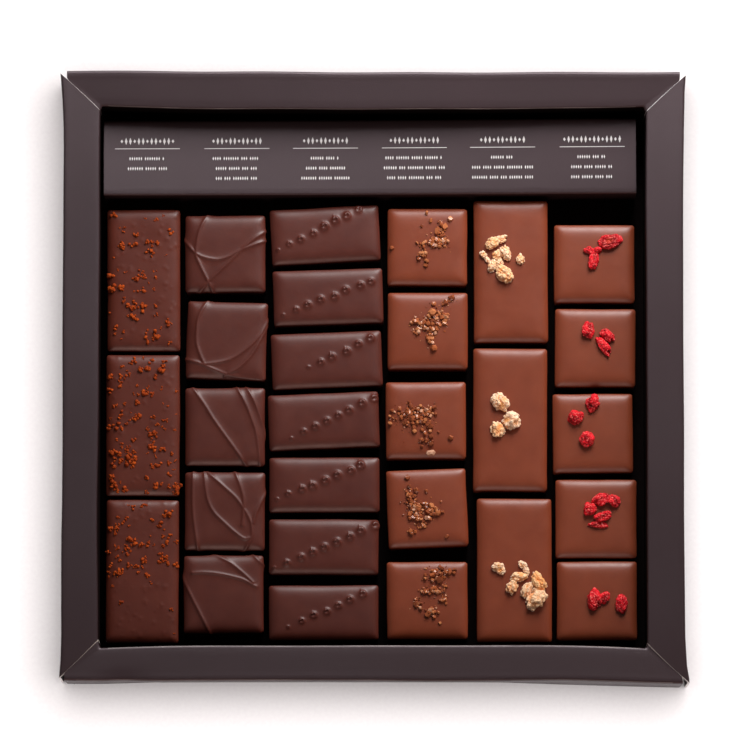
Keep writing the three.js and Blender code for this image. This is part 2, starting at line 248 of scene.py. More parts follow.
# Each mitre, from the front right corner round to the front left one: how far from the front or
# back it starts on the outer edge of the side wall and ends on its inner edge
MITRES = np.array([(-1.3, 11.3), (0.7, 12.4), (0.2, 12.0), (0.3, 12.4)]) * MM
# How far the upper face of the side strips ends short of each mitre
SHORT = np.array([0.4, 0.2, 0.13, 0.36]) * MM
# How much of the ends of the front and back strips is cut off, and how far the corner posts stand
# in: where their bend would meet, and where it starts
END_CUT = 1.0 * MM
POST_IN = 1.9 * MM
POST_START = 1.1 * MM
# The card begins a little above the board, and is uneven only from CALM upwards
LIFT_OFF = 0.3 * MM
CALM = 12 * MM
# Waves of the strips up and sideways, and how near the mitres the strips widen
HEAVE, SWAY, WIDENED = 0.14 * MM, 0.12 * MM, 0.45 * MM
# Dent in the front edge: its place, length and width, and how far it goes down and in
DENT_AT, DENT_LONG, DENT_WIDE = -79 * MM, 7 * MM, 2.5 * MM
DENT_DOWN, DENT_IN = 0.35 * MM, 0.3 * MM
# Points of each fold, and of the strip between its folds
FOLD_STEPS, STRIP_STEPS = 6, 7
# Places of the finishes in the tray's list
RAW, INNER_SHADE, FOLD_HIGHLIGHT = 1, 2, 3

card, tree, shader, place = new_finish("dark_card", 0.5, 0.43)
shader.inputs["Specular Tint"].default_value = (1.0, 0.86, 0.92, 1)
grain = mottle(tree, place, 5200, 4, 0.0, 1.0)
cloud = mottle(tree, place, 45, 3, 0.0, 1.0)
weave = blend_colours(tree, grain, (0.0145, 0.0062, 0.007), (0.02, 0.0088, 0.0102))
paint(tree, shader, cloud, weave, (0.02, 0.0087, 0.0102))
tree.links.new(mottle(tree, place, 1500, 3, 0.47, 0.53), shader.inputs["Roughness"])
roughen(tree, shader, grain, 0.00002)

# Near-black, almost glossless finish of the tray's inside walls and floor. It is darker than the same
# card outside and is painted shade for the deep gaps between the walls and the chocolates.
painted_shade_inner_card, *_ = speckled("painted_shade_inner_card", 0.7, 0.03, 900, 3, (0.004, 0.002, 0.002),
                          (0.007, 0.0035, 0.0035))
# Lighter band along some folds: a painted highlight where the rounded fold catches the light.
painted_fold_highlight, *_ = speckled("painted_fold_highlight", 0.6, 0.35, 70, 4, (0.05, 0.038, 0.038), (0.3, 0.26, 0.25))
raw_edge, tree, shader, _, fibre = speckled("white_card_core", 0.8, 0.5, 6000, 3,
                                            (0.7, 0.66, 0.64), (0.95, 0.93, 0.91))
roughen(tree, shader, fibre, 0.00004)


def waves(points, seed, length, count=7):
    """Smooth random relief between about -1 and 1: the mean of sine waves of about that length,
    each in a random direction and phase, times the square root of their number."""
    rng = np.random.default_rng(seed)
    heading = rng.normal(size=(count, 3))
    heading /= np.linalg.norm(heading, axis=1)[:, None]
    turns = points @ (heading * (2 * np.pi / length * rng.uniform(0.7, 1.5, count))[:, None]).T
    return np.sin(turns + rng.uniform(0, 2 * np.pi, count)).sum(-1) / math.sqrt(count)


def arc(centre, radius, start, end, steps=FOLD_STEPS):
    """Points of a circle from one angle to another, in degrees."""
    turn = np.radians(np.linspace(start, end, steps))
    return np.stack([centre[0] + radius * np.cos(turn), centre[1] + radius * np.sin(turn)], 1)


def quads_of(index):
    """One face with four corners for each cell of a grid of point numbers."""
    return np.stack([index[:-1, :-1], index[1:, :-1], index[1:, 1:], index[:-1, 1:]], -1).reshape(-1, 4)


def closed_sheet(upper, lower):
    """Closed shell between two grids of points with the same rows and columns: faces on both
    grids and one strip of faces along each border. Returns points, faces, and for each face the
    raw finish where it lies on a border that ends the columns, or else 0."""
    rows, columns = upper.shape[:2]
    index = np.arange(rows * columns).reshape(rows, columns)
    under = index + rows * columns
    quads = quads_of(index)
    sides = [np.stack([index[0, :-1], index[0, 1:], under[0, 1:], under[0, :-1]], -1),
             np.stack([index[-1, 1:], index[-1, :-1], under[-1, :-1], under[-1, 1:]], -1)]
    ends = [np.stack([index[1:, 0], index[:-1, 0], under[:-1, 0], under[1:, 0]], -1),
            np.stack([index[:-1, -1], index[1:, -1], under[1:, -1], under[:-1, -1]], -1)]
    faces = np.concatenate([quads, quads[:, ::-1] + rows * columns, *sides, *ends])
    at_end = np.zeros(len(faces), int)
    at_end[-2 * (rows - 1):] = RAW
    return np.concatenate([upper.reshape(-1, 3), lower.reshape(-1, 3)]), faces, at_end


def together(shells):
    """One set of points, faces and face flags from several."""
    starts = np.cumsum([0] + [len(points) for points, _, _ in shells[:-1]])
    return (np.concatenate([points for points, _, _ in shells]),
            np.concatenate([faces + start for (_, faces, _), start in zip(shells, starts)]),
            np.concatenate([flags for _, _, flags in shells]))


def offset_line(line, distance):
    """Line moved sideways: each point goes by distance along the normal, which is the direction
    between its neighbours turned a quarter to the right."""
    ahead = np.gradient(line, axis=0)
    ahead /= np.linalg.norm(ahead, axis=1)[:, None]
    return line + distance * np.stack([ahead[:, 1], -ahead[:, 0]], 1)


def stands_out(side, long):
    """How far the outer edge of a wall stands out at a place along it, read from OUTLINE."""
    return np.interp((long if side < 2 else -long) / MM, *OUTLINE[side]) * MM


def tray_wall(side):
    """Wall of the tray: its section, as inset from the outer edge and height, carried along the
    side. Each point of the section ends where the straight line of the mitre, or the end cut,
    crosses its line. Near the mitres the front and back strips widen by a Gaussian. The upper
    face of the side strips ends a little short, so the white core slopes down to the mitre."""
    width, fall, bow, inner_bow = WALLS[side]
    half_out, half_long = (HALF_DEPTH, HALF_WIDTH) if side % 2 == 0 else (HALF_WIDTH, HALF_DEPTH)
    strip_x = np.linspace(FOLD, width - FOLD, STRIP_STEPS + 2)[1:-1]
    strip_z = TRAY_TOP - fall * strip_x / width
    section = np.concatenate([
        [[0, LIFT_OFF], [0, 8 * MM], [0, 18 * MM]],
        arc((FOLD, TRAY_TOP - FOLD), FOLD, 180, 90),
        np.stack([strip_x, strip_z], 1),
        arc((width - FOLD, TRAY_TOP - fall - FOLD), FOLD, 90, 0),
        [[width, 16 * MM], [width, 8 * MM], [width, FLOOR_TOP]]])
    even = np.linspace(-1, 1, 121)
    along = even * (1.5 - 0.5 * even ** 2)
    grids = []
    for line, shy in ((section, 1), (offset_line(section, CARD), 0)):
        inset = line[:, 0].clip(0, width)
        part = inset[:, None] / width
        reach, widen = [], []
        for ahead in (1, -1):
            corner = side if ahead == 1 else side - 1
            start, stop = MITRES[corner]
            if side % 2:
                reach.append(half_long - start - part[:, 0] * (stop - start) - shy * SHORT[corner])
                widen.append(1.0)
            else:
                beside = (side + ahead) % 4
                own = stands_out(side, ahead * half_long)
                out_there = stands_out(beside, -half_out)
                down = part[:, 0] * stop - own * (1 - part[:, 0])
                end = (down - start) / (stop - start) * (WALLS[beside, 0] + out_there) - out_there
                reach.append(half_long - np.maximum(end, END_CUT))
                widen.append(stop / width)
        long = along * np.where(along > 0, reach[0][:, None], reach[1][:, None])
        near_end = np.exp(-((1 - abs(along)) * half_long / WIDENED) ** 2)
        wide = 1 + (np.where(along > 0, *widen) - 1) * near_end
        out = (-half_out + line[:, 0][:, None] * wide
               + (bow * (1 - along ** 2) - stands_out(side, long)) * (1 - part)
               + inner_bow * (1 - along ** 4) * part)
        up = np.broadcast_to(line[:, 1][:, None], long.shape).copy()
        spot = np.stack([long, out, 0 * long], -1)
        free = np.clip((up - CALM) / (10 * MM), 0, 1)
        up += free * HEAVE * waves(spot, 11 + side, 70 * MM)
        out = out + free * SWAY * waves(spot, 21 + side, 55 * MM)
        if side == 0:
            foot_in = np.interp(long / MM, *FRONT_FOOT) * MM
            out = out + foot_in * (1 - up / TRAY_TOP) * (1 - part)
            dent = np.exp(-((long - DENT_AT) / DENT_LONG) ** 2 - (inset[:, None] / DENT_WIDE) ** 2)
            up -= DENT_DOWN * dent * free
            out = out + DENT_IN * dent * free
        angle = side * math.pi / 2
        grids.append(np.stack([long * math.cos(angle) - out * math.sin(angle),
                               long * math.sin(angle) + out * math.cos(angle), up], -1))
    points, faces, finish_of = closed_sheet(*grids)
    columns = len(along) - 1
    row, column = np.divmod(np.arange((len(section) - 1) * columns), columns)
    inner_fold = 3 + FOLD_STEPS + STRIP_STEPS
    on_sheet = finish_of[:len(row)]
    # The inside of the wall, below its inner fold, takes the near-black finish of painted shade.
    on_sheet[row >= inner_fold + 4] = INNER_SHADE
    clear = abs(column - columns / 2) < 0.42 * columns
    # The inner fold of the front and back strips, and the outer fold of the front wall, get a lighter
    # band of painted highlight along their middle part.
    if side % 2 == 0:
        on_sheet[(row == inner_fold + 2) & clear] = FOLD_HIGHLIGHT
    if side == 0:
        on_sheet[(row == 5) & clear] = FOLD_HIGHLIGHT
    return points, faces, finish_of


def corner_post(sign_x, sign_y):
    """Upright corner of the tray: a strip of card bent round the cut corner, behind both walls,
    with its raw edge on top."""
    start = np.array([HALF_WIDTH - 0.12 * MM, HALF_DEPTH - POST_START - 1.2 * MM])
    turn = np.array([HALF_WIDTH - POST_IN, HALF_DEPTH - POST_IN])
    end = np.array([HALF_WIDTH - POST_IN - 1.2 * MM, HALF_DEPTH - 0.12 * MM])
    t = np.linspace(0, 1, 13)[:, None]
    bend = (1 - t) ** 2 * start + 2 * t * (1 - t) * turn + t ** 2 * end
    heights = np.array([LIFT_OFF, 8 * MM, 16 * MM, TRAY_TOP - 0.5 * MM])
    grids = []
    for line in (bend, offset_line(bend, -0.4 * MM)):
        grid = np.empty((len(line), len(heights), 3))
        grid[..., :2] = line[:, None] * (sign_x, sign_y)
        grid[..., 2] = heights
        grids.append(grid)
    return closed_sheet(*grids)


def slab(low, high):
    """Plain sheet of card between two opposite corners."""
    x, y, z = np.stack([low, high], 1)
    grid = [np.stack(np.meshgrid(x, y, [level], indexing="ij"), -1)[:, :, 0] for level in z[::-1]]
    return closed_sheet(*grid)


# The floor of the tray takes the same near-black finish of painted shade.
base_points, base_faces, _ = slab((-HALF_WIDTH + 1.1 * MM, -HALF_DEPTH + 0.9 * MM, 0),
                                  (HALF_WIDTH - 1.1 * MM, HALF_DEPTH - 0.9 * MM, FLOOR_TOP))
tray_points, tray_faces, tray_ends = together(
    [tray_wall(side) for side in range(4)]
    + [corner_post(x, y) for x in (-1, 1) for y in (-1, 1)]
    + [(base_points, base_faces, np.full(len(base_faces), INNER_SHADE))])
tray = new_piece("folded_tray", tray_points, [tray_faces], [card, raw_edge, painted_shade_inner_card, painted_fold_highlight],
                 tray_ends)
tray.data.set_sharp_from_angle(angle=SHARP)
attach(tray, "root")
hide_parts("tray")


# Ledge: a strip of the same card, folded down along its front and back, that fills the back of
# the tray. Small white marks are printed on it in six groups, one above each column. The coated
# card of tray and ledge has a light of its own, for its sheen.
ledge_low, ledge_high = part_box("ledge_card")
LEDGE_TURN = math.radians(0.27)
LEDGE_WIDTH = 168.8 * MM
LEDGE_DEPTH = 24.1 * MM
LEDGE_MIDDLE = np.array([(ledge_low.x + ledge_high.x) / 2, (ledge_low.y + ledge_high.y) / 2])
LEDGE_TOP = ledge_high.z
# The flaps are straight up to this height
FLAP = 9 * MM
# How far the panel sags, how far its ends twist, and how far it leans back and lies lower
SAG, TWIST, LEAN, LOWER = 0.6 * MM, 0.55 * MM, 0.25 * MM, 0.2 * MM


def set_down(x, y, z, middle, turn):
    """Place in the tray of a place on a piece, which is turned about its middle and moved there."""
    return np.stack([middle[0] + x * math.cos(turn) - y * math.sin(turn),
                     middle[1] + x * math.sin(turn) + y * math.cos(turn), z], -1)


def ledge_lift(x, y):
    """How far the panel of the ledge is off its level: it sags in the middle, and its left end
    leans back while its right end leans forward."""
    spot = np.stack([x, y, np.zeros_like(x)], -1)
    sag = SAG * (1 - (2 * x / LEDGE_WIDTH) ** 2)
    lean = (TWIST * 2 * x / LEDGE_WIDTH - LEAN) * 2 * y / LEDGE_DEPTH
    return SWAY * waves(spot, 31, 80 * MM) - LOWER - sag + lean


def on_ledge(x, y, z):
    """Place in the tray of a place on the ledge, which lies turned a little."""
    return set_down(x, y, z, LEDGE_MIDDLE, LEDGE_TURN)


half = LEDGE_DEPTH / 2
panel_y = np.linspace(-half + FOLD, half - FOLD, 14)[1:-1]
ledge_section = np.concatenate([
    [[-half, FLOOR_TOP + LIFT_OFF], [-half, FLAP]],
    arc((-half + FOLD, LEDGE_TOP - FOLD), FOLD, 180, 90),
    np.stack([panel_y, np.full_like(panel_y, LEDGE_TOP)], 1),
    arc((half - FOLD, LEDGE_TOP - FOLD), FOLD, 90, 0),
    [[half, FLAP], [half, FLOOR_TOP + LIFT_OFF]]])
ledge_x = np.linspace(-LEDGE_WIDTH / 2, LEDGE_WIDTH / 2, 70)
ledge_grids = []
for line in (ledge_section, offset_line(ledge_section, CARD)):
    x, y = np.meshgrid(ledge_x, line[:, 0])
    z = np.broadcast_to(line[:, 1][:, None], x.shape)
    lift = ledge_lift(x, y) * np.clip((z - FLAP) / (7 * MM), 0, 1)
    ledge_grids.append(on_ledge(x, y, z + lift))
ledge_points, ledge_faces, ledge_ends = closed_sheet(*ledge_grids)
ledge = new_piece("folded_ledge", ledge_points, [ledge_faces], [card, raw_edge], ledge_ends)
ledge.data.set_sharp_from_angle(angle=SHARP)
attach(ledge, "root")
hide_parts("ledge_card")

card_sheen = softbox("card_sheen", (-0.03, 0.42, 0.3), 0.26, 3.7)
card_sheen.visible_diffuse = False
card_sheen.light_linking.receiver_collection = group_of("card_only", tray, ledge)

ink, *_ = speckled("white_ink", 0.55, 0.5, 7000, 2, (0.5, 0.48, 0.48), (0.8, 0.79, 0.79))

# Middle of each group of marks, the width of its title row and of its rows of small marks
PRINT_GROUPS = [(-70.6, 18, (11, 12, 0)), (-42.2, 16.5, (15, 13, 13)), (-14.1, 15, (9, 12, 15)),
                (14.1, 16.5, (18, 19, 17)), (42.1, 15, (7, 19, 19)), (70.5, 20, (9, 13, 13))]
HALF_RULE = 10.3
RULE_Y = 3.0
ROW_STEP = 3.2
# Steps from mark to mark in a title, in a word and between words
TITLE_STEP, MARK_STEP, WORD_STEP = 1.35, 0.72, 1.3
INK = 0.02 * MM


def ink_marks():
    """Middle, half length, half height and kind of each mark, in mm on the ledge: a rule for each
    group, kind 0, a row of tall lozenges above it, kind 1, and rows of small lozenges below it,
    in runs of random length."""
    rng = np.random.default_rng(5)
    marks = []
    for middle, title_width, rows in PRINT_GROUPS:
        marks.append((middle, RULE_Y, HALF_RULE, 0.1, 0))
        count = int(title_width / TITLE_STEP)
        for step in range(count):
            tall = 1.15 if step % 3 else 0.6
            marks.append((middle + TITLE_STEP * (step - (count - 1) / 2), RULE_Y + 2.4, 0.42, tall, 1))
        for number, row_width in enumerate(rows, start=1):
            x, run = -row_width / 2, rng.integers(3, 8)
            while x < row_width / 2:
                marks.append((middle + x, RULE_Y - number * ROW_STEP, 0.24, 0.64, 1))
                run -= 1
                x += MARK_STEP if run else WORD_STEP
                run = run or rng.integers(3, 8)
    return np.array(marks)


marks = ink_marks()
bar_and_lozenge = np.array([[(-1, -1), (1, -1), (1, 1), (-1, 1)], [(-1, 0), (0, -1), (1, 0), (0, 1)]])
corners = bar_and_lozenge[marks[:, 4].astype(int)]
mark_x = (marks[:, 0, None] + corners[..., 0] * marks[:, 2, None]) * MM
mark_y = (marks[:, 1, None] + corners[..., 1] * marks[:, 3, None]) * MM
mark_z = LEDGE_TOP + ledge_lift(mark_x, mark_y)
mark_points = np.stack([on_ledge(mark_x, mark_y, mark_z + side * INK) for side in (-1, 1)], 1)
first = 8 * np.arange(len(marks))[:, None, None]
box_faces = np.array([[3, 2, 1, 0], [4, 5, 6, 7], [0, 1, 5, 4], [1, 2, 6, 5], [2, 3, 7, 6],
                      [3, 0, 4, 7]])
print_piece = new_piece("ledge_print", mark_points.reshape(-1, 3),
                        [(box_faces + first).reshape(-1, 4)], [ink], smooth=False)
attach(print_piece, "root")


# Dipped coating: each chocolate is a slab of ganache drawn through melted chocolate. The coating
# draws back to a soft rounded shoulder, leaves the top almost flat and bulges at the sides.
COAT_HEIGHT = 12 * MM
# Radius of the shoulder, depth and width of the fall at the edges, rise of the top's middle, how
# far the sides lean out and their foot spreads, radius of the corners
SHOULDER = 0.8 * MM
ROLL = 1.2 * MM
ROLL_WIDTH = 1.25 * MM
CROWN = 0.15 * MM
DRAFT = -0.2 * MM
FOOT = 0.1 * MM
TOP_CORNER = 0.6 * MM
# Long and short waves of the coating
SWELL, RIPPLE = 0.06 * MM, 0.006 * MM
# Parts of the way from the middle of the top to the foot: where the top ends, where the shoulder ends
TOP_SHARE, SHOULDER_SHARE = 0.78, 0.9


def let_light_in(shader, weight, radius, scale):
    """Light that goes into the food and comes out beside: its share, and its reach in metres."""
    shader.inputs["Subsurface Weight"].default_value = weight
    shader.inputs["Subsurface Radius"].default_value = radius
    shader.inputs["Subsurface Scale"].default_value = scale


def chocolate(name, deep, pale, roughness):
    """Coating of tempered chocolate: two near browns in soft clouds, a satin gloss that varies a
    little, and a very fine unevenness."""
    material, tree, shader, place, _ = speckled(name, roughness, 0.46, 160, 4, deep, pale)
    gloss = mottle(tree, place, 420, 3, roughness - 0.02, roughness + 0.03)
    tree.links.new(gloss, shader.inputs["Roughness"])
    roughen(tree, shader, mottle(tree, place, 300, 2, 0.0, 1.0), 0.000008)
    roughen(tree, shader, mottle(tree, place, 2600, 3, 0.0, 1.0), 0.000003)
    let_light_in(shader, 0.12, (1.0, 0.35, 0.15), 0.0012)
    return material


class Seat:
    """Where a chocolate stands: the middle, half sizes and turn of the rectangle round the foot of
    its solid, and the height of its base and top. The turn is the one within 4 degrees at which
    that rectangle is smallest."""

    def __init__(self, node):
        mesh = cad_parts[node].data
        flat = np.empty(3 * len(mesh.vertices))
        mesh.vertices.foreach_get("co", flat)
        points = flat.reshape(-1, 3)
        self.base = points[:, 2].min()
        foot = points[points[:, 2] < self.base + 0.1 * MM, :2]
        turns = np.radians(np.arange(-4, 4.01, 0.05))
        across = np.stack([np.cos(turns), np.sin(turns)])
        along = np.stack([-np.sin(turns), np.cos(turns)])
        spans = np.ptp(foot @ across, axis=0), np.ptp(foot @ along, axis=0)
        best = np.argmin(spans[0] * spans[1])
        self.turn = turns[best]
        self.half_x, self.half_y = spans[0][best] / 2, spans[1][best] / 2
        self.middle = 0
        for way in (across[:, best], along[:, best]):
            places = foot @ way
            self.middle = self.middle + (places.min() + places.max()) / 2 * way
        self.top = self.base + COAT_HEIGHT

    def edge(self):
        """Half sizes of the top, inside the shoulder, the draft and the spread foot."""
        lean = math.atan(ROLL / ROLL_WIDTH)
        out = SHOULDER * (1 - math.sin(lean)) + DRAFT + FOOT
        return self.half_x - out, self.half_y - out

    def height(self, x, y):
        """Height of the top: a low crown, less a fall that grows exponentially towards the edges;
        near a corner it is the root of the sum of the squares of both falls."""
        edge_x, edge_y = self.edge()
        crown = CROWN * (1 - (x / edge_x) ** 2) * (1 - (y / edge_y) ** 2)
        fall = np.hypot(np.exp((abs(x) - edge_x) / ROLL_WIDTH), np.exp((abs(y) - edge_y) / ROLL_WIDTH))
        return self.top + crown - ROLL * fall

    def to_tray(self, points):
        """Place in the tray of points given from the chocolate's own middle."""
        return set_down(*np.moveaxis(points, -1, 0), self.middle, self.turn)


def rim_point(p, q, half_x, half_y, corner):
    """Place on a rounded rectangle that belongs to the point (p, q) of a square's rim, by arc
    length: each side takes its straight part, then an eighth of a circle up to the diagonal."""
    eighth = corner * math.pi / 4

    def run(part, half):
        way = abs(part) * (half - corner + eighth)
        bend = np.maximum(way - (half - corner), 0) / corner
        straight = np.minimum(way, half - corner)
        return corner * (1 - np.cos(bend)), np.sign(part) * (straight + corner * np.sin(bend))

    inset_x, y_on_side = run(q, half_y)
    inset_y, x_on_side = run(p, half_x)
    on_side = abs(p) >= abs(q)
    return (np.where(on_side, np.sign(p) * (half_x - inset_x), x_on_side),
            np.where(on_side, y_on_side, np.sign(q) * (half_y - inset_y)))


def dipped_block(node, finish, cells, seed, relief=None):
    """Coated block as one grid over the square -1..1, whose rings run from the middle of the top
    outwards. Up to TOP_SHARE the rings grow over the top; then they go round the shoulder, an arc
    that starts at the slope of the top's edge; then down the side to the foot, which is closed by
    one flat face. Last, each point moves along its normal by the relief and by low waves."""
    spot = Seat(node)
    edge_x, edge_y = spot.edge()
    p, q = np.meshgrid(*(np.linspace(-1, 1, number + 1) for number in cells), indexing="ij")
    ring = np.maximum(np.maximum(abs(p), abs(q)), 1e-6)
    rim = p / ring, q / ring
    on_top = np.minimum(ring / TOP_SHARE, 1)
    round_part = np.clip((ring - TOP_SHARE) / (SHOULDER_SHARE - TOP_SHARE), 0, 1)
    down_part = np.clip((ring - SHOULDER_SHARE) / (1 - SHOULDER_SHARE), 0, 1)

    edge = rim_point(*rim, edge_x, edge_y, TOP_CORNER)
    top = edge[0] * on_top, edge[1] * on_top
    level = spot.height(*top)
    lean = math.atan(ROLL / ROLL_WIDTH)
    bend = lean + round_part * (math.pi / 2 - lean)
    fall = SHOULDER * (math.cos(lean) - np.cos(bend))
    left = level - SHOULDER * math.cos(lean) - spot.base
    level = level - fall - down_part * left
    out = SHOULDER * (np.sin(bend) - math.sin(lean)) + DRAFT * down_part + FOOT * down_part ** 8
    shape = rim_point(*rim, edge_x + out, edge_y + out, TOP_CORNER + out)
    flat_out = SHOULDER * (bend - lean) + left * down_part
    unfolded = rim_point(*rim, edge_x + flat_out, edge_y + flat_out, TOP_CORNER + flat_out)
    x, y = (np.where(ring < TOP_SHARE, inner, outer) for inner, outer in zip(top, shape))
    flat_x, flat_y = (np.where(ring < TOP_SHARE, inner, outer) for inner, outer in zip(top, unfolded))
    points = np.stack([x, y, level], -1)

    across, along = np.gradient(points, axis=0), np.gradient(points, axis=1)
    normal = np.cross(across, along)
    normal /= np.linalg.norm(normal, axis=-1)[..., None] + 1e-12
    lift = SWELL * waves(points, seed, 20 * MM) + RIPPLE * waves(points, seed + 1, 6 * MM)
    if relief is not None:
        lift = lift + relief(flat_x, flat_y)
    points = points + normal * (lift * (1 - down_part ** 4))[..., None]

    index = np.arange(p.size).reshape(p.shape)
    quads = quads_of(index)
    foot = np.concatenate([index[:-1, 0], index[-1, :-1], index[:0:-1, -1], index[0, :0:-1]])
    piece = new_piece("dipped_" + node, spot.to_tray(points).reshape(-1, 3),
                      [quads, foot[None, ::-1]], [finish])
    piece.data.polygons[len(quads)].use_smooth = False
    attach(piece, "root")
    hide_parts(node)
    return piece, spot


# Flaked bars: long bars in a dark milk coating, strewn with crumbled orange flakes before it set.
# The smallest crumbs went under the coating and show only as bumps.
flaked_brown = chocolate("dark_milk_coating", (0.085, 0.0145, 0.0073), (0.104, 0.0197, 0.0104), 0.43)
BAR_CELLS = (96, 176)
# Flakes on each bar, and how far they are drawn to its back; crumbs in a flake; sizes of a flake
# in mm and the share of each
FLAKE_BARS = [(72, 0.0), (125, 0.0), (78, 0.45)]
CRUMBS = 5
FLAKE_SIZES, SIZE_SHARES = [0.37, 0.55, 0.76, 0.98], [0.3, 0.3, 0.25, 0.15]
STREWN = np.array([10.6, 21.6]) * MM
COVERED = 70


def lump_grid(sides, rows):
    """Unit sphere as a function of longitude and latitude, with one point at each pole. Returns
    its points, its quads and the triangles round the poles."""
    turn = np.linspace(0, 2 * np.pi, sides, endpoint=False)
    rise = np.linspace(-np.pi / 2, np.pi / 2, rows + 1)[1:-1]
    around, up = np.meshgrid(turn, rise)
    ball = np.stack([np.cos(up) * np.cos(around), np.cos(up) * np.sin(around), np.sin(up)], -1)
    ball = ball.reshape(-1, 3)
    points = np.concatenate([ball, [[0, 0, -1], [0, 0, 1]]])
    index = np.arange(len(ball)).reshape(len(rise), sides)
    ahead = np.roll(index, -1, axis=1)
    quads = np.stack([index[:-1], ahead[:-1], ahead[1:], index[1:]], -1).reshape(-1, 4)
    bottom, top = np.full(sides, len(ball)), np.full(sides, len(ball) + 1)
    caps = np.concatenate([np.stack([ahead[0], index[0], bottom], -1),
                           np.stack([index[-1], ahead[-1], top], -1)])
    return points, quads, caps


def spun(points, turns):
    """Points of each grain turned by its three angles, about X, then Y, then Z."""
    for axis in range(3):
        first, second = [other for other in range(3) if other != axis]
        c, s = np.cos(turns[:, axis])[:, None], np.sin(turns[:, axis])[:, None]
        a, b = points[..., first].copy(), points[..., second].copy()
        points[..., first] = a * c - b * s
        points[..., second] = a * s + b * c
    return points


def strew(rng, centres, sizes, shape, squash, uneven):
    """One small lump for each centre: the shape's points, moved in or out by a random part, scaled
    to the size and turned at random. Returns points and face groups."""
    points, quads, caps = shape
    count = len(centres)
    grains = points[None] * (1 + uneven * rng.uniform(-1, 1, (count, len(points), 1)))
    grains *= (sizes[:, None] * rng.uniform((0.8, 0.6, squash), (1.2, 1.0, 1.0), (count, 3)))[:, None]
    grains = spun(grains, rng.uniform(-1, 1, (count, 3)) * (0.5, 0.5, np.pi)) + centres[:, None]
    start = len(points) * np.arange(count)[:, None, None]
    faces = [(part[None] + start).reshape(-1, part.shape[1]) for part in (quads, caps)]
    return grains.reshape(-1, 3), faces


def joined(groups):
    """One set of points and face groups from several."""
    starts = np.cumsum([0] + [len(points) for points, _ in groups[:-1]])
    faces = [np.concatenate([parts[kind] + start for (_, parts), start in zip(groups, starts)])
             for kind in range(len(groups[0][1]))]
    return np.concatenate([points for points, _ in groups]), faces


def give_tone(piece, values, name="tone"):
    """Number for each vertex, which the finish reads to vary its colour."""
    tone = piece.data.attributes.new(name, "FLOAT", "POINT")
    tone.data.foreach_set("value", np.asarray(values, np.float32))


def number_of(tree, name):
    """Socket that reads such a number."""
    return node_of(tree, "ShaderNodeAttribute", {"attribute_name": name}).outputs["Fac"]


rng = np.random.default_rng(40)
flake_shape = lump_grid(7, 4)
flake_groups, flake_tones = [], []
for number, (count, gather) in enumerate(FLAKE_BARS, start=1):
    heaps = rng.uniform(-STREWN, STREWN, (count // 4, 2))
    spots = heaps[rng.integers(len(heaps), size=count)] + rng.normal(size=(count, 2)) * 1.5 * MM
    stray = rng.random(count) < 0.45
    spots[stray] = rng.uniform(-STREWN, STREWN, (stray.sum(), 2))
    spots[:, 1] += gather * (STREWN[1] - spots[:, 1]) * (rng.random(count) < 0.75)
    spots = spots.clip(-STREWN, STREWN)
    bumps = rng.uniform(-STREWN, STREWN, (COVERED, 2))
    bump_size = rng.uniform(0.3, 0.8, COVERED) * MM

    def crumbs_under(x, y):
        """Relief of the covered crumbs: a low Gaussian bump over each."""
        lift = np.zeros_like(x)
        for (bump_x, bump_y), size in zip(bumps, bump_size):
            near = (x - bump_x) ** 2 + (y - bump_y) ** 2
            lift += 0.13 * size * np.exp(-near / size ** 2)
        return lift

    bar, spot = dipped_block(f"flake_bar_{number}", flaked_brown, BAR_CELLS, 100 + number, crumbs_under)
    sizes = rng.choice(FLAKE_SIZES, count, p=SIZE_SHARES) * rng.uniform(0.85, 1.15, count) * MM
    crumb_spots = np.repeat(spots, CRUMBS, axis=0)
    crumb_sizes = np.repeat(sizes, CRUMBS) * rng.uniform(0.4, 0.85, count * CRUMBS)
    crumb_spots += rng.normal(size=crumb_spots.shape) * 0.85 * crumb_sizes[:, None]
    centres = np.column_stack([crumb_spots, spot.height(*crumb_spots.T) + 0.12 * crumb_sizes])
    flake_groups.append(strew(rng, spot.to_tray(centres), crumb_sizes, flake_shape, 0.5, 0.3))
    flake_tones.append(np.repeat(rng.random(count * CRUMBS), len(flake_shape[0])))

orange, tree, shader, place = new_finish("orange_flake", 0.7, 0.1)
tone = number_of(tree, "tone")
speck = mottle(tree, place, 3500, 3, 0.0, 1.0)
flake_hue = blend_colours(tree, tone, (0.22, 0.03, 0.004), (0.56, 0.094, 0.007))
paint(tree, shader, speck, flake_hue, (0.24, 0.03, 0.006))
roughen(tree, shader, speck, 0.0001)
flake_points, flake_faces = joined(flake_groups)
flakes = new_piece("orange_flakes", flake_points, flake_faces, [orange])
give_tone(flakes, np.concatenate(flake_tones))
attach(flakes, "root")


# Ribbed squares: dark coating over which threads of the same chocolate were drawn while it was
# soft, so that each stands up as a thin ridge with a soft foot and runs over the edge.
dark_brown = chocolate("dark_coating", (0.072, 0.0124, 0.0072), (0.088, 0.0175, 0.0103), 0.45)
SQUARE_CELLS = (160, 160)
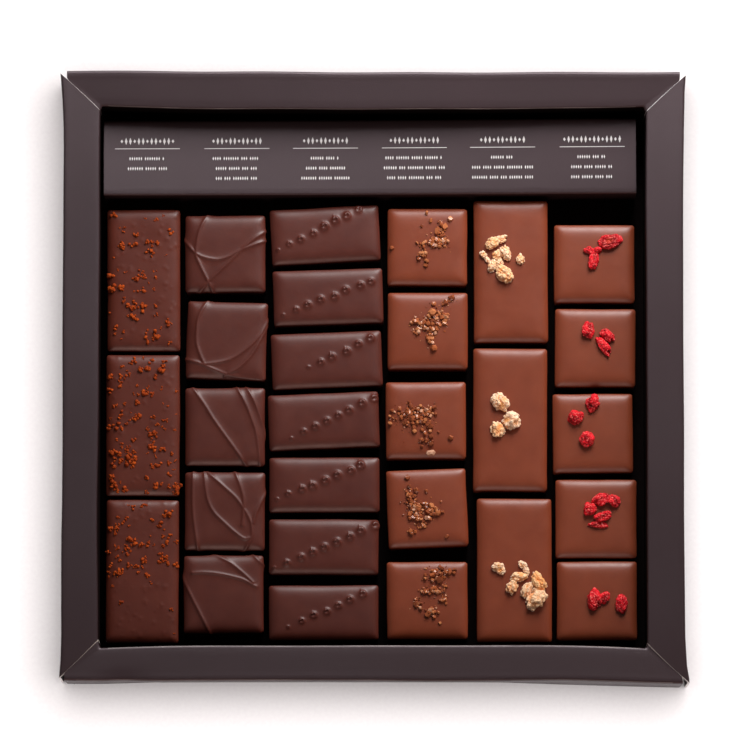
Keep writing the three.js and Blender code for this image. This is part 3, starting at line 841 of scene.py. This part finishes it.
# Middle line of each ridge, by points in mm from the middle of its square
RIBS = [
    [[(-13.5, 5.2), (-9, -0.1), (-3.4, -1.9), (1.1, -1), (5.7, 1.4), (13.8, 4.4)],
     [(13.6, 7.6), (7.8, 3.6), (0.5, -3.4), (-4.9, -8.5), (-9.4, -13.5)],
     [(-4.6, 14), (-7.9, 7.9), (-9.3, 0.6), (-8.2, -3.2), (-5.3, -9.2), (-3, -14)]],
    [[(-5.6, 14), (-8.9, 7.8), (-9.6, 3), (-9.3, -1.8), (-7.3, -6.8), (-5.8, -7.7), (2.2, -5.6),
      (9.9, 1.1), (13.4, 7.6)],
     [(-13.8, -6.3), (-8.5, -7.5), (-3.1, -9.6), (1.4, -11), (8, -11.8), (12, -11.9)],
     [(-0.2, -11.2), (4.2, -8.6), (8.1, -4.2), (11.3, 1.8), (13.2, 5.8)]],
    [[(-11.4, 14), (-6.6, 7.2), (-3.9, 2.8), (-0.3, -2.3), (3.2, -7.1), (8, -14)],
     [(2.9, 14), (6.4, 7.6), (8.6, 2.2), (10.2, -3.3), (11.4, -14)],
     [(5.9, 14), (8.7, 9.2), (10.6, 4.7), (13.4, -4)]],
    [[(-10.1, 14), (-10.1, 1.9), (-9.3, -6.3), (-8, -14)],
     [(-6.8, 14), (-5.7, 4.9), (-3.7, 0), (0, -3.8), (3.5, -6.9), (6.2, -8.7), (8.1, -8.5)],
     [(-7.5, 14), (-0.3, 7.7), (4.1, 3.5), (7.9, -2.5), (8.7, -6.3), (8.3, -8.8), (5.4, -14)],
     [(2.6, 14), (5.2, 7), (6, 2.6), (5.6, -4.4)],
     [(13.5, 7), (10.1, 0), (8.9, -3.8)]],
    [[(-5, 13.5), (1.6, 10.2), (4.9, 7.7), (7.7, 5.2), (9.3, 3.6)],
     [(-9.8, 6.7), (-5.9, 6.8), (-1.7, 6.4), (2.7, 5.5), (6.5, 4.4), (10.3, 2.3)],
     [(-13.4, 7), (-11.8, 2.9), (-9.6, -1.8), (-6.9, -7.2), (-3.4, -14)],
     [(8, 14), (11.1, 10.5), (13.8, 8.6)]],
]


def smooth_line(points, steps=10):
    """Catmull-Rom curve through the points: each stretch is the cubic that leaves and reaches its
    ends in the direction between their neighbours."""
    points = np.array(points)
    knots = np.array([points[0] - points[1] + points[0], *points,
                      points[-1] - points[-2] + points[-1]])
    t = np.linspace(0, 1, steps, endpoint=False)[:, None]
    stretches = [0.5 * ((2 * b) + (c - a) * t + (2 * a - 5 * b + 4 * c - d) * t ** 2
                        + (3 * b - a - 3 * c + d) * t ** 3)
                 for a, b, c, d in zip(knots, knots[1:], knots[2:], knots[3:])]
    return np.concatenate([*stretches, knots[-2:-1]])


def distance_to(x, y, line):
    """Distance of each place from a line of short straight stretches."""
    nearest = np.full(x.shape, np.inf)
    for (ax, ay), (bx, by) in zip(line, line[1:]):
        length = (bx - ax) ** 2 + (by - ay) ** 2
        t = np.clip(((x - ax) * (bx - ax) + (y - ay) * (by - ay)) / length, 0, 1)
        nearest = np.minimum(nearest, (x - ax - t * (bx - ax)) ** 2 + (y - ay - t * (by - ay)) ** 2)
    return np.sqrt(nearest)


# Height and half width of a rib, and of its soft foot
RIB, RIB_HALF = 0.24 * MM, 0.48 * MM
RIB_FOOT, RIB_FOOT_HALF = 0.12 * MM, 1.3 * MM


def ridges(lines):
    """Relief of drawn threads: a narrow Gaussian ridge on a wide low one over each line; where
    lines cross, the higher one counts."""
    def relief(x, y):
        lift = np.zeros_like(x)
        for line in lines:
            away = distance_to(x, y, smooth_line(line) * MM)
            ridge = (RIB * np.exp(-(away / RIB_HALF) ** 2)
                     + RIB_FOOT * np.exp(-(away / RIB_FOOT_HALF) ** 2))
            lift = np.maximum(lift, ridge)
        return lift
    return relief


for number, lines in enumerate(RIBS, start=1):
    square, _ = dipped_block(f"ribbed_square_{number}", dark_brown, SQUARE_CELLS, 200 + number,
                             ridges(lines))


# Beaded bars: short dark bars. A comb was dabbed on the soft coating in a slanting row, and each
# tooth drew up a small bead, hollow in front, some with a thread behind.
BEAD_CELLS = (190, 104)
# Places of the beads in mm from the middle of each bar: the first and last, and how many
BEAD_ROWS = [((-15.3, -4.3), (11.2, 7.4), 8), ((-14.5, -5.3), (13.9, 4.5), 8),
             ((-5.8, -2.5), (14.2, 6), 6), ((-10.3, -5.2), (16, 6.4), 8), ((-15.1, -4.7), (12, 6.2), 8),
             ((-15.1, -6.9), (15.9, 6.6), 9), ((-11.1, -4.5), (12.5, 5.4), 7)]


def beads(start, end, count, seed):
    """Relief of a row of beads, the first ones smaller: each is a low Gaussian dome with a round
    crest behind and to the right, a hollow in its middle, a narrow Gaussian peak where the tooth
    let go, and a short thread drawn out to the left behind it."""
    rng = np.random.default_rng(seed)
    row = np.linspace(start, end, count) + rng.normal(size=(count, 2)) * 0.2
    size = (1 - 0.5 * np.exp(-np.arange(count) / 1.1)) * rng.uniform(0.9, 1.12, count)
    thread = rng.uniform(-0.5, 1.0, count).clip(0)

    def relief(x, y):
        lift = np.zeros_like(x)
        for (bead_x, bead_y), scale, drawn in zip(row * MM, size, thread):
            away_x, away_y = (x - bead_x) / (scale * MM), (y - bead_y) / (scale * MM)
            far = np.hypot(away_x, away_y)
            behind = 0.5 + 0.5 * (0.45 * away_x + 0.89 * away_y) / (far + 0.15)
            crest = 0.4 * np.exp(-((far - 0.9) / 0.36) ** 2) * behind
            dome = 0.46 * np.exp(-(far / 1.2) ** 2)
            hollow = 0.3 * np.exp(-((away_x + 0.2) ** 2 + (away_y - 0.05) ** 2) / 0.5 ** 2)
            peak = 0.6 * np.exp(-((away_x + 0.5) ** 2 + (away_y - 0.4) ** 2) / 0.2 ** 2)
            pulled = 0.3 * drawn * np.exp(-((away_x + 0.55) / 0.16) ** 2 - ((away_y - 1.1) / 0.55) ** 2)
            lift = np.maximum(lift, (crest + dome - hollow + np.maximum(peak, pulled)) * scale * MM)
        return lift
    return relief


for number, (start, end, count) in enumerate(BEAD_ROWS, start=1):
    bar, _ = dipped_block(f"beaded_bar_{number}", dark_brown, BEAD_CELLS, 300 + number,
                          beads(start, end, count, 310 + number))


# Crystal squares: milk coating with a pinch of coarse caramelised sugar and salt on each.
milk_brown = chocolate("milk_coating", (0.18, 0.034, 0.012), (0.208, 0.0425, 0.0157), 0.43)
PLAIN_CELLS = (96, 96)
# Each pinch: place and size of its larger grains, and middle, spread and number of grains of its
# heaps, in mm from the middle of the square
PINCHES = [
    ([(5.4, 6.4, 0.75), (3.2, 4.8, 0.75), (1.6, 1.7, 0.65), (2.9, 2.2, 0.6), (-0.2, -4.6, 0.7),
      (-0.5, -6, 0.5), (7.2, 8.9, 0.6), (-1.1, -2.4, 0.55), (-2.9, -2.8, 0.45), (5.4, 1, 0.55),
      (1.1, 8.4, 0.5), (-0.2, 10.7, 0.5), (-1.8, 6.6, 0.35), (-11.2, -0.4, 0.5), (-2, 0.8, 0.3)],
     [(2.9, 1.4, 1.5, 1.0, 30), (4.4, 5, 0.9, 1.3, 14), (-1.8, -2.6, 0.9, 0.7, 9),
      (-1.8, 1, 0.6, 0.5, 5), (4.9, 1.4, 0.6, 0.7, 9)]),
    ([(1.5, 5.7, 0.9), (2, 8.5, 0.5), (7.6, 10.4, 0.8), (5.8, 9.1, 0.6), (-3.9, 3, 0.7),
      (5.6, 4.3, 0.8), (5.2, 2.2, 0.6), (-1.5, 2.2, 0.5), (1.5, 2.2, 0.5), (1.9, -5.5, 0.8),
      (1.3, -2.6, 0.5)],
     [(-1.5, 1.8, 1.6, 1.0, 25), (3.2, 3.7, 1.6, 1.6, 36), (1.3, -0.2, 1.2, 0.8, 16),
      (0.9, -2.6, 0.6, 1.0, 9), (6, 9.3, 1.0, 0.5, 8), (-3.9, -0.6, 0.7, 0.7, 5)]),
    ([(-0.5, -0.5, 0.5), (1.1, -1.8, 0.5), (1.6, -5.2, 0.6), (1.4, -10.6, 0.9), (7.9, -5.6, 0.6),
      (2.5, 4.1, 0.6), (-4.7, 4.3, 0.7), (-8.3, 3.6, 0.5), (-4.7, 2, 0.5), (4, -3.8, 0.35)],
     [(-4.7, 0.8, 2.4, 1.5, 80), (0.2, 2.6, 1.4, 0.7, 22), (0.7, -2.4, 0.9, 0.9, 13),
      (-0.7, -6.7, 1.1, 0.5, 10)]),
    ([(-5.9, 9.9, 0.6), (-3.2, 5.7, 0.6), (0, 5.3, 0.5), (-5.3, 3.5, 0.5), (-3, 0.2, 0.7),
      (3.3, -1.8, 0.75), (-2.2, -2.6, 0.55), (-3.2, -3.5, 0.6), (-5.7, -1.8, 0.55), (1.4, 0.6, 0.55),
      (5.9, -9.3, 0.45), (4.5, 1.8, 0.3)],
     [(-4.9, 3, 0.9, 1.6, 20), (-3, 0.2, 1.3, 1.2, 32), (-0.2, -1, 1.5, 1.0, 26),
      (2.2, -1, 1.2, 0.9, 12), (-3.3, -3, 1.2, 0.6, 12), (-1.4, -5.1, 0.8, 0.6, 8),
      (-5.1, -7.3, 0.5, 0.4, 5)]),
    ([(3.8, 6.5, 0.9), (1.8, 7.9, 0.7), (7, 9, 0.55), (2.5, 2.9, 0.5), (-0.5, 2.7, 0.5), (5, 0, 0.6),
      (-3.6, -1.6, 0.5), (0.2, -4.5, 0.65), (1.4, -2.7, 0.5), (4, -7.2, 0.4)],
     [(3.4, 8.1, 1.5, 1.2, 32), (6.5, 8.5, 0.6, 0.6, 8), (-0.2, 2.7, 1.2, 0.6, 13),
      (2.7, 3.1, 0.8, 0.7, 11), (5.2, 3, 0.4, 1.2, 9), (5, 0.2, 0.6, 0.7, 10),
      (-3.1, -0.9, 0.8, 0.8, 10), (1.1, -3.6, 1.0, 0.9, 17)]),
]
# Power of each square's random shades: the higher, the darker are most of its grains
DARKER = [0.8, 0.9, 2.0, 1.6, 1.2]
# True size of a grain for each unit above, and how near the edges grains lie
GRAIN_SCALE = 1.45
NEAR_EDGE = 11.4
rng = np.random.default_rng(50)
points, quads, caps = lump_grid(6, 4)
grain_shape = np.sign(points) * abs(points) ** 0.55, quads, caps
grain_groups, grain_tones = [], []
for number, (large, heaps) in enumerate(PINCHES, start=1):
    square, spot = dipped_block(f"crystal_square_{number}", milk_brown, PLAIN_CELLS, 400 + number)
    spots, sizes, stacked = [np.array(large)[:, :2]], [np.array(large)[:, 2]], [np.zeros(len(large))]
    for heap_x, heap_y, spread_x, spread_y, count in heaps:
        for amount, low, high, wide in ((count, 0.2, 0.52, 1.0), (2 * count, 0.07, 0.2, 1.35)):
            away = rng.normal(size=(amount, 2)) * (spread_x * wide, spread_y * wide)
            spots.append((heap_x, heap_y) + away)
            sizes.append(rng.uniform(low, high, amount))
            stacked.append(0.35 * rng.random(amount) * (low > 0.1))
    spots = np.concatenate(spots).clip(-NEAR_EDGE, NEAR_EDGE) * MM
    sizes = GRAIN_SCALE * np.concatenate(sizes) * MM
    rise = 0.25 * sizes + np.concatenate(stacked) * MM
    centres = np.column_stack([spots, spot.height(*spots.T) + rise])
    grain_groups.append(strew(rng, spot.to_tray(centres), sizes, grain_shape, 0.6, 0.16))
    grain_tones.append(np.repeat(rng.random(len(sizes)) ** DARKER[number - 1], len(points)))

amber, tree, shader, place = new_finish("amber_sugar", 0.16, 0.28)
tone = number_of(tree, "tone")
shades = node_of(tree, "ShaderNodeValToRGB", Fac=tone)
ramp = shades.color_ramp.elements
ramp[0].color = (0.17, 0.04, 0.018, 1)
ramp[1].color = (0.66, 0.38, 0.26, 1)
ramp.new(0.45).color = (0.37, 0.1, 0.034, 1)
ramp.new(0.85).color = (0.56, 0.22, 0.09, 1)
cloudy = mottle(tree, place, 2500, 3, 0.0, 0.5)
paint(tree, shader, cloudy, shades.outputs["Color"], (0.32, 0.09, 0.035))
grain_points, grain_faces = joined(grain_groups)
grains = new_piece("sugar_crystals", grain_points, grain_faces, [amber], smooth=False)
give_tone(grains, np.concatenate(grain_tones))
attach(grains, "root")


# Almond bars: long bars in milk coating with chopped almonds that were boiled in sugar, so each
# bit is a pale lump under a crust of coarse sugar, toasted in places.
# Middle, length, width, turn in degrees and toasting of each lump, in mm; some bits are two lumps
ALMONDS = [
    [(-5.9, 9, 4.3, 3.4, 30, 0.75), (-3.2, 10.2, 3.9, 2.4, 25, 0.3), (-1.7, 5.9, 4.5, 3.2, 105, 0.3),
     (-4.3, 5.1, 3.3, 2.6, 40, 0.5), (-8.7, 5.3, 2.3, 1.9, -50, 0), (-7.4, 3.6, 2.2, 1.5, -60, 0),
     (-5.9, 1.7, 4.1, 2.6, 70, 0.2), (-3.8, 2.8, 2.6, 2.2, 20, 0.3), (-1.9, -1.1, 5.8, 4.5, -50, 0.7),
     (3.1, 3.8, 3.2, 2.4, -65, 0.4)],
    [(-3.1, 5.2, 5.7, 4.6, -50, 0.1), (-4.6, 7.3, 1.9, 1.6, 0, 0.1), (0.3, -0.5, 5.6, 5.1, 65, 0.0),
     (-4.1, -3.4, 4.7, 3.9, 100, 0.5)],
    [(-5.3, 1.1, 3.5, 2.7, 20, 0), (-4.6, 0.2, 3.7, 2.5, -50, 0.1), (2.6, 1.6, 2.7, 2.1, -30, 0.1),
     (3.8, -0.3, 2.5, 1.8, -60, 0.2), (1.5, -2.2, 5.2, 3, 5, 0.6), (-0.8, -5.4, 4.2, 3.3, 70, 0.6),
     (3.9, -6.3, 5.4, 2.9, 60, 0.4), (7.7, -3.7, 6.3, 3.7, -60, 1.0), (6.9, -9.3, 6.6, 5.2, 45, 0.5),
     (7.1, -6.7, 2.9, 2.5, 0, 0.4)],
]
bit_shape = lump_grid(72, 44)
NO_FADE = 1e6


def knobs(points, seed, count, reach):
    """Relief of grains on a ball: over each of so many random places a cap exp(-(d / reach)^2), of
    which the highest counts."""
    rng = np.random.default_rng(seed)
    spots = rng.normal(size=(count, 3))
    spots /= np.linalg.norm(spots, axis=1)[:, None]
    nearest = ((points[:, None] - spots[None]) ** 2).sum(-1)
    return np.exp(-nearest / reach ** 2 * rng.uniform(0.6, 1.5, count)).max(1)


def sugar_grains(tree, place, per_metre):
    """Height of rounded grains, so many a metre: one less the distance to the nearest cell point."""
    cells = node_of(tree, "ShaderNodeTexVoronoi", Vector=place, Scale=per_metre)
    return ranged(tree, cells.outputs["Distance"], 0.0, 1.0, 1.0, 0.0)


def patches(tree, place, per_metre, low, high):
    """Mottle cut off at 0 and 1, so that it leaves bare ground between patches."""
    cut = node_of(tree, "ShaderNodeClamp", Value=mottle(tree, place, per_metre, 3, low, high))
    return cut.outputs["Result"]


def bits(place_rows, spot, seed, thickness, form, fade):
    """Lumps that lie on a chocolate: a ball, stretched to length and width, whose surface moves
    out by the form's relief. Returns points and faces, the relief as a tone, and as a second tone
    the last number of each row, which fades from the top of the lump outwards."""
    groups, tones, extras = [], [], []
    points, quads, caps = bit_shape
    for number, (x, y, length, width, degrees, extra) in enumerate(place_rows):
        relief = form(points, seed + number, extra)
        lump = points * (0.86 + relief)[:, None] * (length / 2, width / 2, thickness * width / 2)
        turns = np.array([[0.2 * math.sin(seed + number), 0.0, math.radians(degrees)]])
        turned = spun(lump[None].copy(), turns)[0]
        ground = spot.height(x * MM, y * MM) / MM + 0.42 * thickness * width / 2
        groups.append((spot.to_tray((turned + (x, y, ground)) * MM), [quads, caps]))
        tones.append(relief)
        above = (points[:, 2] > 0) * np.exp(-(points[:, 0] ** 2 + points[:, 1] ** 2) / fade)
        extras.append(extra * above)
    return groups, tones, extras


def almond_form(points, seed, toasting):
    """Broad facets, coarse sugar knobs and a crust of fine ones."""
    return (0.1 * waves(points, seed, 1.5) + 0.32 * knobs(points, seed + 7, 54, 0.25)
            + 0.1 * knobs(points, seed + 8, 150, 0.15) - 0.04)


def topped(node, all_rows, cells, seed, thickness, form, fade=NO_FADE):
    """The milk chocolates of one kind with all their bits: points and faces of the bits, and both
    their tones."""
    groups, tones, extras = [], [], []
    for number, rows in enumerate(all_rows, start=1):
        block, spot = dipped_block(f"{node}_{number}", milk_brown, cells, seed + number)
        made = bits(rows, spot, seed + 20 + 20 * number, thickness, form, fade)
        for kept, new in zip((groups, tones, extras), made):
            kept += new
    return *joined(groups), np.concatenate(tones), np.concatenate(extras)


almond_points, almond_faces, almond_relief, toasting = topped(
    "almond_bar", ALMONDS, BAR_CELLS, 500, 0.75, almond_form)
sugared, tree, shader, place = new_finish("sugared_almond", 0.55, 0.3)
tone = number_of(tree, "tone")
toasted = number_of(tree, "toasting")
# Painted light and shade by relief: the raised knobs are painted paler and the low parts between them
# darker and more orange, as shade would make them. The toasting varies both colours.
relief_shade = ranged(tree, tone, -0.12, 0.2)
hollows = blend_colours(tree, toasted, (0.98, 0.43, 0.15), (0.88, 0.25, 0.04))
raised = blend_colours(tree, toasted, (1.0, 0.7, 0.5), (1.0, 0.56, 0.27))
pale = blend_colours(tree, relief_shade, hollows, raised)
browning = patches(tree, place, 420, -0.9, 0.9)
paint(tree, shader, browning, pale, (0.85, 0.33, 0.09))
roughen(tree, shader, mottle(tree, place, 3800, 3, 0.0, 1.0), 0.0001)
roughen(tree, shader, sugar_grains(tree, place, 2300), 0.00022)
let_light_in(shader, 0.3, (1.0, 0.9, 0.8), 0.0007)
almonds = new_piece("almond_bits", almond_points, almond_faces, [sugared])
give_tone(almonds, almond_relief)
give_tone(almonds, toasting, "toasting")
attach(almonds, "root")


# Raspberry squares: milk coating with crumbled freeze-dried raspberry, whose small dry drupelets
# still hang together in clumps. One bit lies with its hollow side up.
# Middle, length, width, turn in degrees and depth of the hollow on top of each lump, in mm
RASPBERRIES = [
    [(4.8, 7, 7, 4.6, 22, 0.5), (-1.9, 4.1, 2.8, 2.4, 0, 0), (1, 4.1, 2.7, 2.3, 20, 0),
     (-0.2, 1.1, 6, 3.1, 87, 0.15)],
    [(-2.4, 5.4, 5.4, 3.7, 72, 0), (3.8, 3.6, 5.4, 3.3, -50, 0), (2.7, 0.4, 7, 2.7, -52, 0)],
    [(0, 9.4, 5, 4.2, 80, 0), (-5.3, 4.8, 4.9, 4.2, 20, 0.1), (-1.9, -1.9, 4.6, 4.1, -60, 0)],
    [(1.3, 5.9, 4.8, 3.4, 30, 0), (3, 6.6, 3.4, 3, 0, 0), (5.6, 5.5, 4.6, 3.2, -40, 0),
     (-1.9, 3, 4.4, 3.7, 45, 0), (2, 0.6, 5.5, 2.9, 15, 0), (0.5, -2.1, 6, 2, 0, 0.2)],
    [(-0.9, 0.2, 6.2, 4.1, 110, 0), (2.4, 1, 4, 2.7, 70, 0), (7.7, -0.9, 6.4, 3.4, 100, 0)],
]


def raspberry_form(points, seed, hollow):
    """Round drupelets with creases between them, over a dented and wrinkled body; the hollow is
    a Gaussian dent on top."""
    dent = hollow * np.exp(-(points[:, 0] ** 2 + points[:, 1] ** 2) / 0.4) * (points[:, 2] > 0)
    return (0.17 * waves(points, seed, 1.9) + 0.2 * knobs(points, seed + 7, 36, 0.34)
            + 0.08 * knobs(points, seed + 8, 120, 0.15) + 0.02 - dent)


berry_points, berry_faces, berry_relief, hollows = topped(
    "raspberry_square", RASPBERRIES, PLAIN_CELLS, 600, 0.8, raspberry_form, 0.3)
berry_red, tree, shader, place = new_finish("dried_raspberry", 0.45, 0.1)
tone = number_of(tree, "tone")
hollow = number_of(tree, "hollow")
# Painted shade by relief: the flesh and the exposed inside are painted darker in the creases and low
# parts, and lighter on the drupelets.
raised = ranged(tree, tone, -0.1, 0.3)
flesh = blend_colours(tree, raised, (0.24, 0.0015, 0.004), (0.8, 0.014, 0.026))
pith = blend_colours(tree, raised, (0.62, 0.06, 0.03), (0.95, 0.16, 0.1))
inside = ranged(tree, hollow, 0.1, 0.5)
# Pale pinkish spots in patches: painted glints on the drupelets.
painted_glints = patches(tree, place, 1900, -1.1, 0.95)
paint(tree, shader, painted_glints, blend_colours(tree, inside, flesh, pith), (0.98, 0.19, 0.17))
roughen(tree, shader, mottle(tree, place, 3000, 3, 0.0, 1.0), 0.00012)
roughen(tree, shader, sugar_grains(tree, place, 2300), 0.0002)
let_light_in(shader, 0.2, (1.0, 0.2, 0.2), 0.0008)
berries = new_piece("raspberry_bits", berry_points, berry_faces, [berry_red])
give_tone(berries, berry_relief)
give_tone(berries, hollows, "hollow")
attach(berries, "root")
